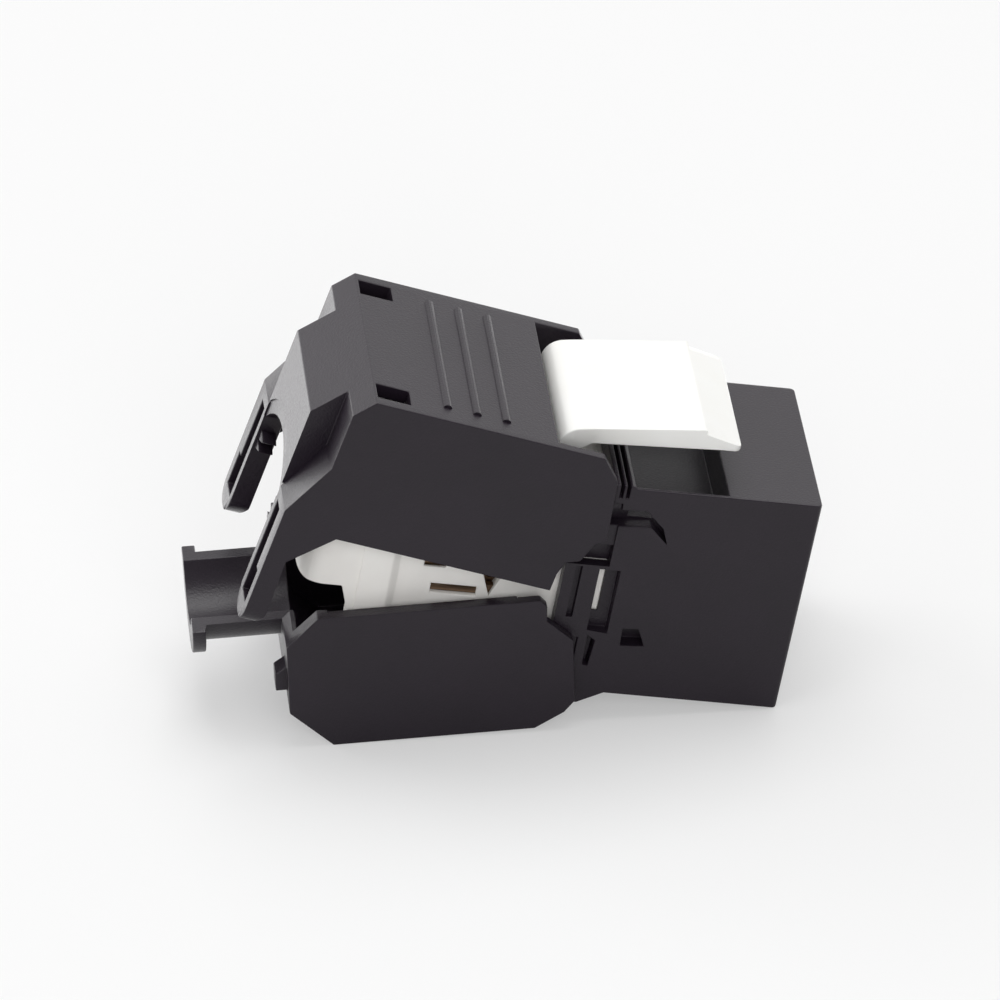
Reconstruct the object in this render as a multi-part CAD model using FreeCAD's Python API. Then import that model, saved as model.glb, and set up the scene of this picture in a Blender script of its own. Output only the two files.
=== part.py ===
# Keystone jack with two hinged wire-pressing jaws, in millimetres.
# +X points out of the plug port, +Y to the jack's left seen from the front, +Z up.
# The origin is the centre of the front face. Both jaws are drawn closed and turned open at the end.
import math
import os

import FreeCAD, Part
from FreeCAD import Vector

# Front housing
HOUSING_WIDTH = 14.5
HOUSING_HEIGHT = 16.2
HOUSING_DEPTH = 13.25
FRONT_EDGE_ROUND = 0.35
FRONT_WALL = 1.3
REAR_RIM_START = HOUSING_DEPTH - 0.8
REAR_RIM_END = HOUSING_DEPTH - 0.3
REAR_RIM_RISE = 0.2
REAR_RIM_BEVEL = 0.15
STRIP_REACH = 0.7
STRIP_HEIGHT = 1.25
STRIP_GROOVE_WIDTH = 0.22
STRIP_GROOVE_PITCH = 0.43
STRIP_GROOVE_DEPTH = 0.8
LOWER_SIDE_REACH = 1.1
RAMP_START = HOUSING_DEPTH - 1.45
RAMP_LENGTH = 1.7
RAMP_DROP = 0.95

# Plug port, for an eight-way modular plug with its tab below
PORT_WIDTH = 11.8
PORT_HEIGHT = 6.75
PORT_CEILING_Z = 2.6
PORT_DEPTH = 10.9
TAB_WIDTH = 6.4
TAB_STEP_HEIGHT = 1.5
TAB_SLOT_WIDTH = 3.6
TAB_DEPTH_BELOW = 2.7
SHELF_SPACE = 1.7

# Pocket under the latch, lower lip and small cuts in the housing
POCKET_FRONT = 6.3
POCKET_REAR = HOUSING_DEPTH - 0.7
POCKET_SIDE_WALL = 0.3
POCKET_ROOF = 1.0
LIP_START = 8.2
LIP_LENGTH = 2.4
LIP_FLAT = 0.8
LIP_HEIGHT = 1.2
LIP_WIDTH = 10.0
SIDE_CUT_SKIN = 0.25
SIDE_CUT_DEPTH = (HOUSING_WIDTH - PORT_WIDTH) / 2 - SIDE_CUT_SKIN
SLIT_DEPTH = 0.9
WINDOW_DEPTH = 0.75
WINDOW_FRONT = HOUSING_DEPTH - 0.8
WINDOW_REAR = HOUSING_DEPTH + 0.6
WINDOW_TOP_Z = 1.65
WINDOW_BOTTOM_Z = -3.3

# Both jaws: pivots, widths and the levels of their edges
PIVOT_BEHIND = 2.05
PIVOT_X = -HOUSING_DEPTH - PIVOT_BEHIND
PIVOT_Z = 5.2
JAW_OVERHANG = 0.8
JAW_WIDTH = HOUSING_WIDTH + 2 * JAW_OVERHANG
JAW_HALF = JAW_WIDTH / 2
JAW_SIDE_WALL = 1.15
JAW_FORK_WALL = 0.7
JAW_INNER_Y = JAW_HALF - JAW_SIDE_WALL
FORK_INNER_Y = JAW_HALF - JAW_FORK_WALL
JAW_SKIN = 1.0
JAW_HALF_GAP = 0.15
PARTING_Z = -0.27
UPPER_OPEN_DEG = 9.49
LOWER_OPEN_DEG = 11.82
LAP_HEIGHT = 0.4
LAP_WALL = 0.45
LAP_CLEARANCE = 0.1
LAP_REAR_X = PIVOT_X - 15.2
REAR_BEVEL = 2.15
REAR_BEVEL_GAP = 0.2

# Side tongues and the ears that carry the jaws
TONGUE_REAR = HOUSING_DEPTH + 2.95
TONGUE_TOP_Z = 1.9
TONGUE_BOTTOM_Z = -3.9
TONGUE_WALL = 0.8
TONGUE_GAP_FRONT = HOUSING_DEPTH + 1.75
TONGUE_GAP_WIDTH = 0.45
TONGUE_GAP_DEPTH = 0.45
EAR_PLAY = 0.3
EAR_WIDTH = 1.45
EAR_OUTER_Y = FORK_INNER_Y - EAR_PLAY
EAR_INNER_Y = EAR_OUTER_Y - EAR_WIDTH
EAR_RADIUS = 1.7
WEB_REAR = 1.6
WEB_WIDTH = 0.8
WEB_GAP = 0.1
PIN_RADIUS = 0.8
PIN_CLEARANCE = 0.05
PIN_REACH = 1.2

# Upper jaw
UPPER_TOP_Z = 10.65
UPPER_CREASE_X = PIVOT_X - 16.7
UPPER_FORK_TIP_X = PIVOT_X - 0.85
UPPER_FORK_START_X = PIVOT_X - 4.0
PLATE_EDGE = 0.38
PLATE_EDGE_RUN = 1.3
UPPER_REAR_X = PIVOT_X - 19.8
HOOD_WIDTH = 9.94
HOOD_RIDGE_Z = 7.12
HOOD_WALL = 0.95
SHOULDER_X = UPPER_REAR_X + 1.9
SHOULDER_TOP_Z = 5.0
SHOULDER_FOOT_Z = 1.1
LEG_WIDTH = 3.2
LEG_INNER_Y = JAW_HALF - LEG_WIDTH
LEG_FRONT_X = UPPER_REAR_X + 1.45
LEG_ROOT_Z = 1.9
LEG_TIP_Z = -8.25
LEG_TIP_ROUND = 1.45
LEG_TOE_ROUND = 1.0
ARCH_RADIUS = 6.65
ARCH_TOP_Z = 2.28
ARCH_RIM_RADIUS = 7.0
ARCH_RIM_TOP_Z = 3.4
ARCH_RIM_DEPTH = 0.12
SLOT_INNER_Y = LEG_INNER_Y + 0.65
SLOT_WIDTH = 1.15
SLOT_TOP_Z = 0.3
SLOT_DEPTH = 1.0
SNAP_WIDTH = 1.7
SNAP_TOP_Z = -4.35
SNAP_BOTTOM_Z = -6.9
TOP_WINDOW_FRONT_X = PIVOT_X - 14.25
TOP_WINDOW_LENGTH = 2.3
TOP_WINDOW_EDGE = 0.85
TOP_WINDOW_WIDTH = 1.65
RIB_FIRST_X = PIVOT_X - 11.65
RIB_PITCH = 2.05
RIB_COUNT = 3
RIB_END_GAP = 1.6
RIB_WIDTH = 0.6
RIB_HEIGHT = 0.22
TOOTH_COUNT = 2
TOOTH_PITCH = 0.75
TOOTH_REACH = 1.3
TOOTH_TOP_Z = -0.9
TOOTH_LENGTH = 1.0

# Lower jaw and its cable trough
LOWER_BOTTOM_Z = -10.6
LOWER_REAR_X = PIVOT_X - 18.15
LOWER_FORK_START_X = PIVOT_X - 2.7
LOWER_FRONT_X = PIVOT_X + 0.85
LOWER_REAR_WALL = 0.85
LOWER_REAR_CHAMFER = 2.8
TROUGH_WALL = 0.9
TROUGH_LEG_GAP = 0.25
TROUGH_INNER_RADIUS = LEG_INNER_Y - TROUGH_LEG_GAP - TROUGH_WALL
TROUGH_AXIS_Z = -1.2
TROUGH_RIM_Z = -2.6
TROUGH_LENGTH = 6.0
TROUGH_END_X = LOWER_REAR_X - TROUGH_LENGTH
TROUGH_FLANGE_LENGTH = 0.9
TROUGH_FLANGE_HEIGHT = 0.8
CATCH_REACH = 0.8
CATCH_CLEARANCE = 0.1
CATCH_TOP_Z = -4.6
CATCH_BOTTOM_Z = -6.5

# White wire block
BLOCK_SIDE_GAP = 0.2
BLOCK_HALF_WIDTH = JAW_INNER_Y - BLOCK_SIDE_GAP
BLOCK_REAR_X = PIVOT_X - 15.2
BLOCK_FOOT_X = BLOCK_REAR_X + 0.6
BLOCK_FOOT_Z = 3.75
BLOCK_WIDE_FRONT_X = PIVOT_X - 2.0
BLOCK_HALF_HEIGHT = HOUSING_HEIGHT / 2 - 1.5
HOLLOW_WALL = 1.2
HOLLOW_DEPTH = 1.8
NECK_HALF_WIDTH = EAR_INNER_Y - 0.2
NECK_MID_CLEARANCE = 0.1
NECK_TOP_Z = 1.85
NECK_BOTTOM_Z = -3.5
LUG_FRONT_X = PIVOT_X - 1.1
FLANGE_BOTTOM_Z = -2.15
PILLAR_REAR_X = BLOCK_REAR_X + 1.0
PILLAR_FRONT_X = BLOCK_REAR_X + 3.05
PILLAR_REAR_STEP = 0.12
PANEL_RECESS = 0.35
PANEL_RUN = 0.5
NOSE_X = BLOCK_REAR_X - 3.1
NOSE_BOTTOM_Z = -1.95
NOSE_TOP_Z = 2.45
NOSE_TOP_ROUND = 1.6
NOSE_BOTTOM_ROUND = 0.9
NOSE_PLAN_ROUND = 2.0
TAIL_WINDOW_LENGTH = 3.1
TAIL_WINDOW_HEIGHT = 0.7

# Insulation-displacement contacts
IDC_THICKNESS = 0.4
IDC_FIT = 0.05
IDC_HALF_WIDTH = 1.1
IDC_OUTER_Y = BLOCK_HALF_WIDTH - 0.75 - IDC_THICKNESS
IDC_INNER_Y = IDC_OUTER_Y - 0.55
IDC_TIP_Z = 4.6
IDC_TAIL_HEIGHT = 0.75
IDC_WIRE_SLIT = 0.35
TOP_FRONT_X = PIVOT_X - 5.35
TOP_REAR_X = TOP_FRONT_X - 3.9
BOTTOM_FRONT_X = PIVOT_X - 3.7
BOTTOM_REAR_X = BOTTOM_FRONT_X - 4.0
TOP_FRONT_SLOT_Z = -1.85
TOP_REAR_SLOT_Z = 0.05
BOTTOM_SLOT_Z = -2.8
TOP_TAIL_Z = -1.95
BOTTOM_TAIL_Z = -3.4
WIRE_SLOT_HALF_WIDTH = 0.75
V_HEIGHT = 2.0

# Circuit board, contact carrier and spring wires
PCB_THICKNESS = 1.0
PCB_HALF_WIDTH = HOUSING_WIDTH / 2 - 1.1
PCB_NECK_HALF_WIDTH = PORT_WIDTH / 2 - 0.6
PCB_SHOULDER_Z = -0.8
PCB_TOP_Z = 4.2
PCB_BOTTOM_Z = -5.8
BOARD_GAP = 0.1
CARRIER_BACK = 1.25
SHELF_THICKNESS = 0.75
CONTACT_PITCH = 1.016
CONTACT_COUNT = 8
CONTACT_WIDTH = 0.4
CONTACT_THICKNESS = 0.3
CONTACT_LEVEL_Z = 3.7
CONTACT_BEND_X = -4.9
CONTACT_BEND_RADIUS = 0.6
CONTACT_SLOPE_DEG = 25.0
CONTACT_ARM = 5.2
COMB_LENGTH = 1.6
COMB_TOP_Z = 1.6
COMB_BOTTOM_Z = -0.5
COMB_CLEARANCE = 0.1

# Panel latch
LATCH_HALF_WIDTH = 5.5
LATCH_REAR_X = PIVOT_X - 2.65
LATCH_ROOT_THICKNESS = 1.0
LATCH_TOP_REAR_Z = 11.15
LATCH_RIDGE_X = -8.4
LATCH_RIDGE_Z = 12.05
LATCH_TIP_X = -5.8
LATCH_TIP_Z = 11.0
LATCH_TIP_THICKNESS = 0.4
LATCH_UNDER_REAR_Z = 10.2
LATCH_UNDER_FRONT_Z = 10.6
LATCH_REAR_ROUND = 1.5
LATCH_FACET_WIDTH = 1.6
LATCH_FACET_DROP = 0.35
LATCH_TIP_ROUND = 0.5
LATCH_FOOT_DEPTH = 1.0
LATCH_FOOT_CLEARANCE = 0.25

EPS = 1.0
Y_AXIS = Vector(0, 1, 0)
HALF_WIDTH = HOUSING_WIDTH / 2
HALF_HEIGHT = HOUSING_HEIGHT / 2
PORT_FLOOR_Z = PORT_CEILING_Z - PORT_HEIGHT
CAVITY_HALF = PORT_WIDTH / 2
PCB_REAR_X = -HOUSING_DEPTH + 0.2
PCB_FRONT_X = PCB_REAR_X + PCB_THICKNESS
UPPER_EDGE_Z = PARTING_Z + JAW_HALF_GAP
LOWER_EDGE_Z = PARTING_Z - JAW_HALF_GAP


def box(x0, x1, y0, y1, z0, z1):
    """Box between two corners."""
    return Part.makeBox(x1 - x0, y1 - y0, z1 - z0, Vector(x0, y0, z0))


def centred_box(x0, x1, half_y, z0, z1):
    """Box that is as wide to each side of the middle plane."""
    return box(x0, x1, -half_y, half_y, z0, z1)


def profile(points, y0, y1):
    """Outline in the XZ plane, carried along Y from y0 to y1."""
    corners = [Vector(x, y0, z) for x, z in points]
    wire = Part.makePolygon(corners + corners[:1])
    return Part.Face(wire).extrude(Vector(0, y1 - y0, 0))


def rounded_profile(points, radii, y0, y1):
    """Like profile, with the corners that radii names by their number cut to arcs."""
    edges = []
    count = len(points)
    corners = [Vector(x, y0, z) for x, z in points]
    previous = None
    first = None
    for i in range(count):
        here = corners[i]
        if i in radii:
            back = (corners[i - 1] - here).normalize()
            ahead = (corners[(i + 1) % count] - here).normalize()
            half_angle = back.getAngle(ahead) / 2
            run = radii[i] / math.tan(half_angle)
            start = here + back * run
            end = here + ahead * run
            middle = here + (back + ahead).normalize() * (radii[i] / math.sin(half_angle) - radii[i])
        else:
            start = here
            end = here
        if previous is not None:
            edges.append(Part.LineSegment(previous, start).toShape())
        else:
            first = start
        if i in radii:
            edges.append(Part.Arc(start, middle, end).toShape())
        previous = end
    edges.append(Part.LineSegment(previous, first).toShape())
    return Part.Face(Part.Wire(edges)).extrude(Vector(0, y1 - y0, 0))


def both_sides(shape):
    """The shape and its mirror image across the middle plane."""
    return shape.fuse(shape.mirror(Vector(0, 0, 0), Y_AXIS))


def side_profile(points, y0, y1):
    """Outline carried from y0 to y1 on the left side, and mirrored to the right."""
    return both_sides(profile(points, y0, y1))


def rod(radius, x, z, y0, y1):
    """Round bar along Y."""
    return Part.makeCylinder(radius, y1 - y0, Vector(x, y0, z), Y_AXIS)


def round_upright_edges(shape, x, radius, half_y):
    """Round the edges along Z at the given x and both sides."""
    picked = []
    for edge in shape.Edges:
        bounds = edge.BoundBox
        upright = bounds.ZLength > 1 and bounds.XLength < 1e-6 and bounds.YLength < 1e-6
        if upright and abs(bounds.XMin - x) < 1e-6 and abs(abs(bounds.YMin) - half_y) < 1e-6:
            picked.append(edge)
    return shape.makeFillet(radius, picked) if picked else shape


def turn_open(shape, z, degrees):
    """Turn a closed jaw about its hinge."""
    turned = shape.copy()
    turned.rotate(Vector(PIVOT_X, 0, z), Y_AXIS, degrees)
    return turned


def port_cuts():
    """Plug port, tab way and the space for the carrier, cut into the housing."""
    inner = -HOUSING_DEPTH - EPS
    main = centred_box(inner, EPS, CAVITY_HALF, PORT_FLOOR_Z, PORT_CEILING_Z)
    shelf = centred_box(inner, CONTACT_BEND_X + 1.2, CAVITY_HALF, PORT_CEILING_Z - 0.1,
                        PORT_CEILING_Z + SHELF_SPACE)
    step_z = PORT_FLOOR_Z - TAB_STEP_HEIGHT
    low_z = PORT_FLOOR_Z - TAB_DEPTH_BELOW
    tab_mouth = centred_box(-FRONT_WALL - EPS, EPS, TAB_WIDTH / 2, step_z, PORT_FLOOR_Z + 0.1)
    tab_slot = centred_box(-FRONT_WALL - EPS, EPS, TAB_SLOT_WIDTH / 2, low_z, step_z + 0.1)
    tab_way = centred_box(inner, -FRONT_WALL, TAB_WIDTH / 2, low_z, PORT_FLOOR_Z + 0.1)
    board = centred_box(inner, PCB_FRONT_X + BOARD_GAP, PCB_HALF_WIDTH + BOARD_GAP, PCB_BOTTOM_Z - BOARD_GAP,
                        PCB_SHOULDER_Z + BOARD_GAP)
    return main.fuse([shelf, tab_mouth, tab_slot, tab_way, board])


def housing_side_cuts():
    """Hook, notch and slit in the sides, and the windows that show the wire block."""
    rear = -HOUSING_DEPTH
    hook = [(rear - EPS, 6.3), (rear + 1.7, 6.43), (rear + 3.05, 5.2), (rear + 3.5, 3.98), (rear + 2.2, 5.23),
            (rear - EPS, 5.05)]
    notch = [(rear + 1.8, -2.9), (rear + 2.85, -2.85), (rear + 3.45, -4.15), (rear + 1.85, -4.25)]
    slit = [(rear - 0.45, -3.65), (rear + 0.1, -4.0), (rear - 0.05, -6.1), (rear - 0.4, -6.0)]
    cuts = []
    for outline, depth in ((hook, SIDE_CUT_DEPTH), (notch, SIDE_CUT_DEPTH), (slit, SLIT_DEPTH)):
        cuts.append(side_profile(outline, HALF_WIDTH - depth, HALF_WIDTH + EPS))
    window = box(-WINDOW_REAR, -WINDOW_FRONT, HALF_WIDTH - WINDOW_DEPTH, HALF_WIDTH + EPS, WINDOW_BOTTOM_Z,
                 WINDOW_TOP_Z)
    opening = box(-WINDOW_REAR, -HOUSING_DEPTH, HALF_WIDTH - TONGUE_WALL - EPS, HALF_WIDTH + EPS,
                  FLANGE_BOTTOM_Z + 0.1, WINDOW_TOP_Z)
    gap_rear = -TONGUE_GAP_FRONT - TONGUE_GAP_WIDTH
    gap = box(gap_rear, -TONGUE_GAP_FRONT, HALF_WIDTH - TONGUE_GAP_DEPTH, HALF_WIDTH + EPS,
              NECK_BOTTOM_Z + 1.2, TONGUE_TOP_Z - 0.15)
    return cuts + [both_sides(window.fuse(opening)), both_sides(gap)]


def ears():
    """The four ears behind the housing, with the webs that join them to the tongues."""
    solids = []
    for z in (PIVOT_Z, -PIVOT_Z):
        arm = box(PIVOT_X, -HOUSING_DEPTH + EPS, EAR_INNER_Y, EAR_OUTER_Y, z - EAR_RADIUS, z + EAR_RADIUS)
        eye = rod(EAR_RADIUS, PIVOT_X, z, EAR_INNER_Y, EAR_OUTER_Y)
        solids.append(both_sides(arm.fuse(eye)))
    for low, high in ((NECK_TOP_Z + WEB_GAP, PIVOT_Z), (-PIVOT_Z, NECK_BOTTOM_Z - WEB_GAP)):
        web = box(PIVOT_X - WEB_REAR, -HOUSING_DEPTH + EPS, EAR_INNER_Y, EAR_INNER_Y + WEB_WIDTH, low, high)
        solids.append(both_sides(web))
    return solids


def ear_holes():
    """Running holes for the pins of both jaws."""
    holes = []
    for z in (PIVOT_Z, -PIVOT_Z):
        hole = rod(PIN_RADIUS + PIN_CLEARANCE, PIVOT_X, z, EAR_INNER_Y - EPS, EAR_OUTER_Y + EPS)
        holes.append(both_sides(hole))
    return holes


def rear_strip():
    """Raised strip across the housing's upper rear edge, over the neck of the wire block."""
    top = HALF_HEIGHT + REAR_RIM_RISE
    end = -HOUSING_DEPTH - STRIP_REACH
    low = HALF_HEIGHT - STRIP_HEIGHT
    outline = [(-REAR_RIM_START, low), (-REAR_RIM_START, HALF_HEIGHT), (-REAR_RIM_END + REAR_RIM_BEVEL, top),
               (end, top), (end, low)]
    return profile(outline, -HALF_WIDTH, HALF_WIDTH)


def strip_grooves():
    """Grooves that part the rear strip into ribs, and the bevel in front of the first one."""
    top = HALF_HEIGHT + EPS
    floor = HALF_HEIGHT - STRIP_GROOVE_DEPTH
    first = -REAR_RIM_END - STRIP_GROOVE_WIDTH
    grooves = [profile([(-REAR_RIM_END, HALF_HEIGHT), (-REAR_RIM_END + REAR_RIM_BEVEL, top), (first, top),
                        (first, HALF_HEIGHT)], -HALF_WIDTH - EPS, HALF_WIDTH + EPS)]
    for i in range(2):
        rear = first - i * STRIP_GROOVE_PITCH
        grooves.append(centred_box(rear, rear + STRIP_GROOVE_WIDTH, HALF_WIDTH + EPS, floor, top))
    return grooves


def front_housing():
    """Black moulded shell with the plug port and the ears."""
    body = centred_box(-HOUSING_DEPTH, 0, HALF_WIDTH, -HALF_HEIGHT, HALF_HEIGHT)
    body = round_upright_edges(body, 0, FRONT_EDGE_ROUND, HALF_WIDTH)
    rim = rear_strip()
    low = -HALF_HEIGHT
    reach_x = -HOUSING_DEPTH - LOWER_SIDE_REACH
    reach = box(reach_x, -HOUSING_DEPTH + EPS, HALF_WIDTH - JAW_SIDE_WALL, HALF_WIDTH, low, TONGUE_BOTTOM_Z)
    ramp_z = low - RAMP_DROP
    ramp = profile([(-RAMP_START, low), (-RAMP_START - RAMP_LENGTH, ramp_z), (reach_x, ramp_z),
                    (reach_x, low + 1), (-RAMP_START, low + 1)], -HALF_WIDTH, HALF_WIDTH)
    tongue = box(-TONGUE_REAR, -HOUSING_DEPTH + EPS, HALF_WIDTH - TONGUE_WALL, HALF_WIDTH, TONGUE_BOTTOM_Z,
                 TONGUE_TOP_Z)
    lip_end = -LIP_START - LIP_LENGTH
    lip_z = low - LIP_HEIGHT
    lip = profile([(-LIP_START, low + 0.5), (-LIP_START, lip_z), (-LIP_START - LIP_FLAT, lip_z),
                   (lip_end, low), (lip_end, low + 0.5)], -LIP_WIDTH / 2, LIP_WIDTH / 2)
    body = body.fuse([rim, both_sides(reach), ramp, both_sides(tongue), lip] + ears())
    pocket = centred_box(-POCKET_REAR, -POCKET_FRONT, HALF_WIDTH - POCKET_SIDE_WALL,
                         PORT_CEILING_Z + SHELF_SPACE + POCKET_ROOF, HALF_HEIGHT + EPS)
    body = body.cut([port_cuts(), pocket] + strip_grooves() + housing_side_cuts() + ear_holes())
    return body.removeSplitter()


def upper_side_outline():
    """Closed outline of the upper jaw's side walls, without the hood."""
    kink_x = LOWER_REAR_X + REAR_BEVEL + REAR_BEVEL_GAP
    toe_z = LEG_TIP_Z + LEG_TOE_ROUND
    return [(UPPER_CREASE_X, UPPER_TOP_Z), (UPPER_FORK_TIP_X, UPPER_TOP_Z),
            (PIVOT_X + 0.6, UPPER_TOP_Z - 1.55), (PIVOT_X + 1.15, PIVOT_Z + 1),
            (PIVOT_X + 1.45, PIVOT_Z - 0.6), (PIVOT_X + 0.8, PIVOT_Z - 1.05),
            (PIVOT_X + 0.3, PIVOT_Z - 2.6), (PIVOT_X - 0.6, PIVOT_Z - 2.95), (UPPER_FORK_TIP_X, PIVOT_Z - 4),
            (UPPER_FORK_TIP_X, UPPER_EDGE_Z),
            (kink_x, UPPER_EDGE_Z), (LEG_FRONT_X, UPPER_EDGE_Z + LEG_FRONT_X - kink_x), (LEG_FRONT_X, toe_z),
            (LEG_FRONT_X - 0.3 * LEG_TOE_ROUND, toe_z - 0.7 * LEG_TOE_ROUND),
            (LEG_FRONT_X - LEG_TOE_ROUND, LEG_TIP_Z), (UPPER_REAR_X, LEG_TIP_Z),
            (UPPER_REAR_X, SHOULDER_FOOT_Z), (SHOULDER_X, SHOULDER_TOP_Z),
            (SHOULDER_X, hood_slope_z(SHOULDER_X))]


def hood_slope_z(x):
    """Height of the hood's sloping face at a place along X."""
    share = (UPPER_CREASE_X - x) / (UPPER_CREASE_X - UPPER_REAR_X)
    return UPPER_TOP_Z - share * (UPPER_TOP_Z - HOOD_RIDGE_Z)


def hood_inner(thickness):
    """Slope and rear plane of the hood, moved inwards by the wall."""
    run = UPPER_CREASE_X - UPPER_REAR_X
    drop = UPPER_TOP_Z - HOOD_RIDGE_Z
    slant = math.hypot(run, drop)
    down = thickness * slant / run
    top_z = UPPER_TOP_Z - thickness
    top_x = UPPER_CREASE_X - (down - thickness) * -run / drop
    rear_x = UPPER_REAR_X + thickness
    rear_z = hood_slope_z(rear_x) - down
    return top_x, top_z, rear_x, rear_z


def upper_jaw():
    """Upper cover in the closed position."""
    shell = profile(upper_side_outline(), -JAW_HALF, JAW_HALF)
    hood_half = HOOD_WIDTH / 2
    hood = profile([(UPPER_CREASE_X, UPPER_TOP_Z), (UPPER_REAR_X, HOOD_RIDGE_Z), (UPPER_REAR_X, 0),
                    (UPPER_CREASE_X, 0)], -hood_half, hood_half)
    shell = shell.fuse(hood)
    top_x, top_z, rear_x, rear_z = hood_inner(JAW_SKIN)
    low = LEG_TIP_Z - EPS
    hood_space = profile([(UPPER_FORK_START_X, low), (UPPER_FORK_START_X, top_z), (top_x, top_z),
                          (rear_x, rear_z), (rear_x, low)], -hood_half + HOOD_WALL, hood_half - HOOD_WALL)
    front_x = UPPER_FORK_START_X
    edge_bevel = profile([(front_x - PLATE_EDGE_RUN, top_z - 0.01), (front_x, top_z - 0.01),
                          (front_x, UPPER_TOP_Z - PLATE_EDGE)], -FORK_INNER_Y, FORK_INNER_Y)
    back_x = SHOULDER_X + JAW_SKIN
    wide_space = profile([(UPPER_FORK_START_X, low), (UPPER_FORK_START_X, top_z), (back_x, top_z),
                          (back_x, SHOULDER_TOP_Z - 0.4), (LEG_FRONT_X, LEG_ROOT_Z), (LEG_FRONT_X, low)],
                         -JAW_INNER_Y, JAW_INNER_Y)
    arch_z = ARCH_TOP_Z - ARCH_RADIUS
    arch_foot_z = arch_z + math.sqrt(ARCH_RADIUS ** 2 - LEG_INNER_Y ** 2)
    leg_space = centred_box(UPPER_REAR_X - EPS, LEG_FRONT_X + EPS, LEG_INNER_Y, low, arch_foot_z)
    fork_space = centred_box(UPPER_FORK_START_X - 0.01, EPS, FORK_INNER_Y, low, UPPER_TOP_Z + EPS)
    arch = Part.makeCylinder(ARCH_RADIUS, 2.5, Vector(UPPER_REAR_X - 0.5, 0, arch_z), Vector(1, 0, 0))
    arch = arch.common(centred_box(UPPER_REAR_X - EPS, LEG_FRONT_X + EPS, LEG_INNER_Y, arch_foot_z - 0.1,
                                   ARCH_TOP_Z + EPS))
    rim_z = ARCH_RIM_TOP_Z - ARCH_RIM_RADIUS
    rim = Part.makeCylinder(ARCH_RIM_RADIUS, ARCH_RIM_DEPTH + EPS, Vector(UPPER_REAR_X - EPS, 0, rim_z),
                            Vector(1, 0, 0))
    rim = rim.common(centred_box(UPPER_REAR_X - 2 * EPS, LEG_FRONT_X, HOOD_WIDTH / 2, arch_foot_z,
                                 ARCH_RIM_TOP_Z + EPS))
    slot = box(UPPER_REAR_X - EPS, UPPER_REAR_X + SLOT_DEPTH, SLOT_INNER_Y, SLOT_INNER_Y + SLOT_WIDTH,
               SNAP_BOTTOM_Z, SLOT_TOP_Z)
    snap = box(UPPER_REAR_X - EPS, LEG_FRONT_X + EPS, SLOT_INNER_Y, SLOT_INNER_Y + SNAP_WIDTH, SNAP_BOTTOM_Z,
               SNAP_TOP_Z)
    window_y = JAW_HALF - TOP_WINDOW_EDGE
    window = box(TOP_WINDOW_FRONT_X - TOP_WINDOW_LENGTH, TOP_WINDOW_FRONT_X, window_y - TOP_WINDOW_WIDTH,
                 window_y, UPPER_TOP_Z - 1.6, UPPER_TOP_Z + EPS)
    lip = box(LAP_REAR_X, UPPER_FORK_START_X, JAW_INNER_Y, JAW_INNER_Y + LAP_WALL,
              UPPER_EDGE_Z - LAP_HEIGHT, UPPER_EDGE_Z + 0.1)
    jaw = shell.cut([hood_space, edge_bevel, wide_space, leg_space, fork_space, arch, rim, both_sides(slot),
                     both_sides(snap), both_sides(window)])
    jaw = jaw.cut([leg_tip_cut(side) for side in (1, -1)])
    jaw = jaw.fuse([both_sides(lip)] + finger_ribs() + grip_teeth() + jaw_pins(PIVOT_Z))
    return jaw.removeSplitter()


def leg_tip_cut(side):
    """What is taken off a leg to round its tip, seen from the rear."""
    radius = LEG_TIP_ROUND
    inner = LEG_INNER_Y
    outer = JAW_HALF
    length = LEG_FRONT_X - UPPER_REAR_X + 2 * EPS
    x = UPPER_REAR_X - EPS
    block = box(x, x + length, inner - 0.01, outer + 0.01, LEG_TIP_Z - EPS, LEG_TIP_Z + radius)
    left = Part.makeCylinder(radius, length, Vector(x, inner + radius, LEG_TIP_Z + radius), Vector(1, 0, 0))
    right = Part.makeCylinder(radius, length, Vector(x, outer - radius, LEG_TIP_Z + radius), Vector(1, 0, 0))
    middle = box(x, x + length, inner + radius, outer - radius, LEG_TIP_Z, LEG_TIP_Z + radius)
    cut = block.cut([left, right, middle])
    return cut if side > 0 else cut.mirror(Vector(0, 0, 0), Y_AXIS)


def finger_ribs():
    """Low round ribs across the upper jaw for the thumb."""
    radius = (RIB_WIDTH ** 2 / 4 + RIB_HEIGHT ** 2) / (2 * RIB_HEIGHT)
    half = JAW_HALF - RIB_END_GAP
    ribs = []
    for i in range(RIB_COUNT):
        x = RIB_FIRST_X + i * RIB_PITCH
        bar = rod(radius, x, UPPER_TOP_Z + RIB_HEIGHT - radius, -half, half)
        ribs.append(bar.common(centred_box(x - RIB_WIDTH, x + RIB_WIDTH, JAW_HALF, UPPER_TOP_Z - 0.1,
                                           UPPER_TOP_Z + EPS)))
    return ribs


def grip_teeth():
    """Saw teeth on the inner side of each leg that bite the cable."""
    teeth = []
    x = UPPER_REAR_X + 0.2
    base_y = LEG_INNER_Y + 0.05
    for i in range(TOOTH_COUNT):
        z = TOOTH_TOP_Z - i * TOOTH_PITCH
        corners = [Vector(x, base_y, z), Vector(x, LEG_INNER_Y - TOOTH_REACH, z - 0.25),
                   Vector(x, base_y, z - TOOTH_PITCH)]
        wire = Part.makePolygon(corners + corners[:1])
        teeth.append(both_sides(Part.Face(wire).extrude(Vector(TOOTH_LENGTH, 0, 0))))
    return teeth


def jaw_pins(z):
    """Round pins moulded on the inner faces of a jaw's forks."""
    inner = FORK_INNER_Y - PIN_REACH
    return [both_sides(rod(PIN_RADIUS, PIVOT_X, z, inner, FORK_INNER_Y + 0.1))]


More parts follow.
